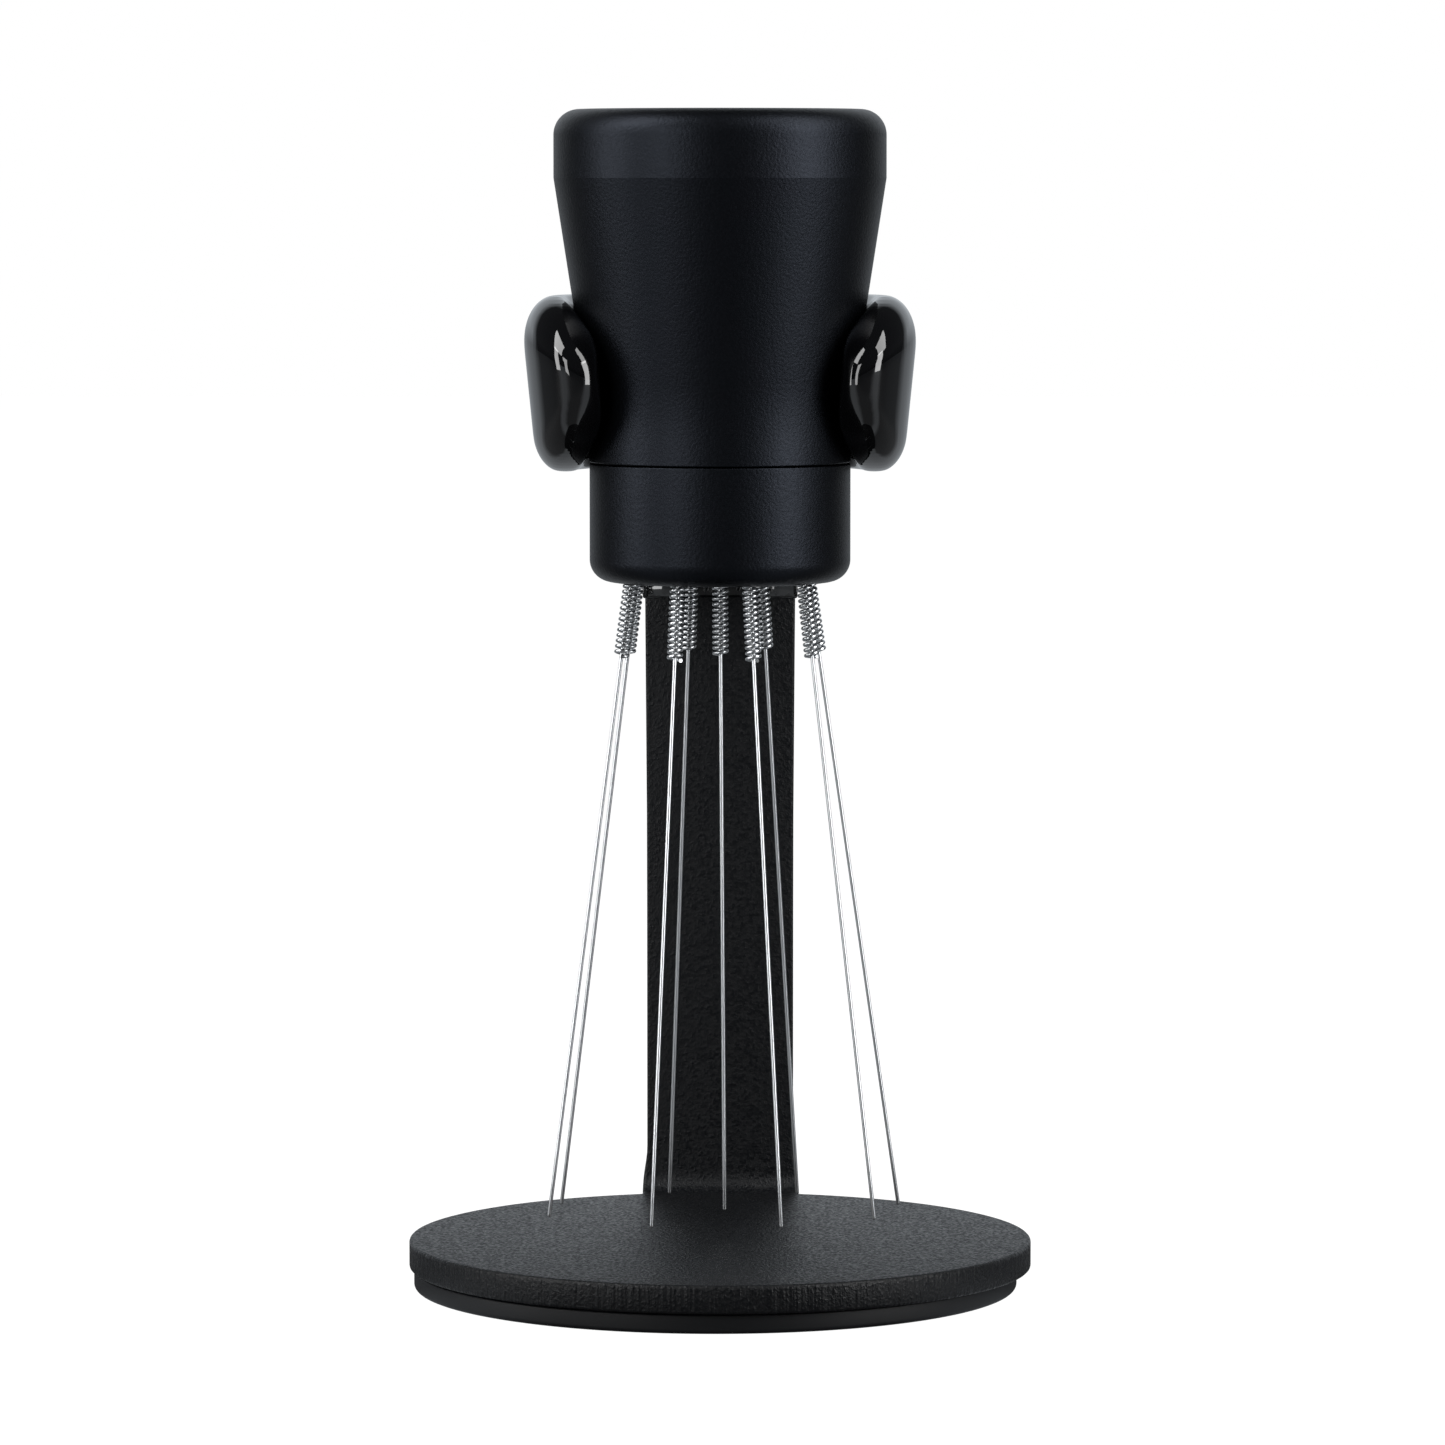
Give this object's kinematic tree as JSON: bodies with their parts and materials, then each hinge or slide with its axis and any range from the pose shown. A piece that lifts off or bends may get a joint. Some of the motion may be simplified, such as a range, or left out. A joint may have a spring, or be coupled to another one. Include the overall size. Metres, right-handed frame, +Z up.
{
  "type": "needle distribution tool with stand",
  "caption": "Tapered grip on a collar of splayed fine wire needles, hanging in a clip on an upright bent up from a round base.",
  "frame": {"origin": "on the surface the stand rests on, under the tool's axis", "axes": "+Z up along the tool's axis, -Y towards the front, the open side of the clip"},
  "size_m": [0.066, 0.0705, 0.1246],
  "materials": {
    "powder_coat": "satin textured black powder coat on steel",
    "foot_rubber": "matte moulded rubber",
    "adhesive_film": "thin black acrylic adhesive",
    "gloss_clip": "high gloss black",
    "screw_steel": "blackened steel",
    "anodised_body": "bead blasted, black anodised",
    "o_ring_rubber": "smooth nitrile rubber",
    "silicone": "matte silicone",
    "needle_steel": "bright drawn stainless wire"
  },
  "bodies": {
    "stand": {"stand_plate": "powder_coat", "foot_pad": "foot_rubber", "pad_adhesive": "adhesive_film", "holder_clip": "gloss_clip", "clip_screws": "screw_steel"},
    "carrier": {"collar": "anodised_body", "needle_plate": "anodised_body", "needle_grip": "silicone"},
    "seal": {"thread_o_ring": "o_ring_rubber"},
    "grip": {"handle_body": "anodised_body"},
    "wire_1": {"needle_1": "needle_steel"},
    "wire_2": {"needle_2": "needle_steel"},
    "wire_3": {"needle_3": "needle_steel"},
    "wire_4": {"needle_4": "needle_steel"},
    "wire_5": {"needle_5": "needle_steel"},
    "wire_6": {"needle_6": "needle_steel"},
    "wire_7": {"needle_7": "needle_steel"},
    "wire_8": {"needle_8": "needle_steel"},
    "wire_9": {"needle_9": "needle_steel"}
  },
  "joints": [
    {"name": "tool_lift", "type": "slide", "parent": "stand", "child": "carrier", "axis": [0, 0, 1], "range_m": [0, 0.031]},
    {"name": "handle_rise", "type": "slide", "parent": "carrier", "child": "seal", "axis": [0, 0, 1], "range_m": [0, 0.005]},
    {"name": "handle_turn", "type": "hinge", "parent": "seal", "child": "grip", "pos_m": [0, 0, 0.0875], "axis": [0, 0, 1], "range_deg": [0, 1800]},
    {"name": "needle_flex_1", "type": "hinge", "parent": "carrier", "child": "wire_1", "pos_m": [0.00298, -0.00908, 0.07809], "axis": [-0.9483, -0.3173, 0], "range_deg": [-2, 2], "stiffness_Nm_per_rad": 0.004},
    {"name": "needle_flex_2", "type": "hinge", "parent": "carrier", "child": "wire_2", "pos_m": [0.00847, -0.00423, 0.07808], "axis": [-0.4462, -0.8949, 0], "range_deg": [-2, 2], "stiffness_Nm_per_rad": 0.004},
    {"name": "needle_flex_3", "type": "hinge", "parent": "carrier", "child": "wire_3", "pos_m": [0.0089, 0.00304, 0.07807], "axis": [0.3173, -0.9483, 0], "range_deg": [-2, 2], "stiffness_Nm_per_rad": 0.004},
    {"name": "needle_flex_4", "type": "hinge", "parent": "carrier", "child": "wire_4", "pos_m": [0.00421, 0.00856, 0.07808], "axis": [0.8949, -0.4462, 0], "range_deg": [-2, 2], "stiffness_Nm_per_rad": 0.004},
    {"name": "needle_flex_5", "type": "hinge", "parent": "carrier", "child": "wire_5", "pos_m": [-0.00302, 0.00909, 0.07809], "axis": [0.9483, 0.3173, 0], "range_deg": [-2, 2], "stiffness_Nm_per_rad": 0.004},
    {"name": "needle_flex_6", "type": "hinge", "parent": "carrier", "child": "wire_6", "pos_m": [-0.00844, 0.00434, 0.07808], "axis": [0.4462, 0.8949, 0], "range_deg": [-2, 2], "stiffness_Nm_per_rad": 0.004},
    {"name": "needle_flex_7", "type": "hinge", "parent": "carrier", "child": "wire_7", "pos_m": [-0.00894, -0.00301, 0.07807], "axis": [-0.3173, 0.9483, 0], "range_deg": [-2, 2], "stiffness_Nm_per_rad": 0.004},
    {"name": "needle_flex_8", "type": "hinge", "parent": "carrier", "child": "wire_8", "pos_m": [-0.00427, -0.00855, 0.07809], "axis": [-0.8949, 0.4462, 0], "range_deg": [-2, 2], "stiffness_Nm_per_rad": 0.004},
    {"name": "needle_flex_9", "type": "hinge", "parent": "carrier", "child": "wire_9", "pos_m": [-0.00002, 0, 0.0781], "axis": [0, -1, 0], "range_deg": [-2, 2], "stiffness_Nm_per_rad": 0.004}
  ],
  "couplings": [
    {"joint": "handle_turn", "follows": "handle_rise", "rad_per_m": 6283.2}
  ]
}
